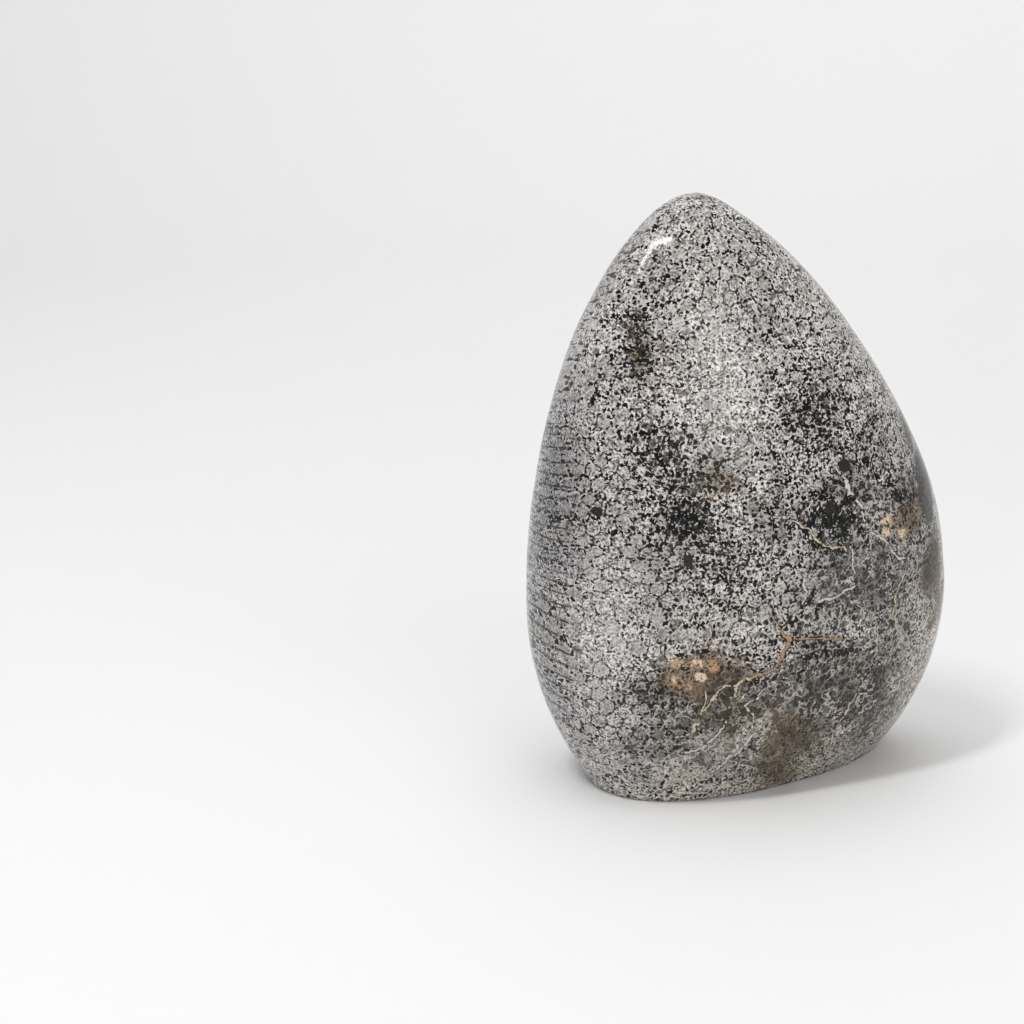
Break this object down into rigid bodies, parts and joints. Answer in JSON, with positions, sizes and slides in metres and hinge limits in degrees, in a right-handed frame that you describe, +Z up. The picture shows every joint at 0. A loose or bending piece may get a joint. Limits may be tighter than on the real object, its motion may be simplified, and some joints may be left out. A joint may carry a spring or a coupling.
{
  "type": "fossil coral head",
  "caption": "Polished freeform of fossil colonial coral, flame-shaped with a leaning rounded tip, sawn flat underneath to stand as an ornament.",
  "frame": {"origin": "on the sawn base, under the middle of the stone's bounding box", "axes": "+Z up from the sawn base to the tip, -Y towards the broad face that shows the corallites end-on, +X to the right of that face"},
  "size_m": [0.1128, 0.0692, 0.15],
  "materials": {
    "polished_coral": "high polish over pale and dark grey corallites, with veins and brown stains; the sawn base is dull"
  },
  "bodies": {
    "root": {"coral_head": "polished_coral"}
  },
  "joints": []
}
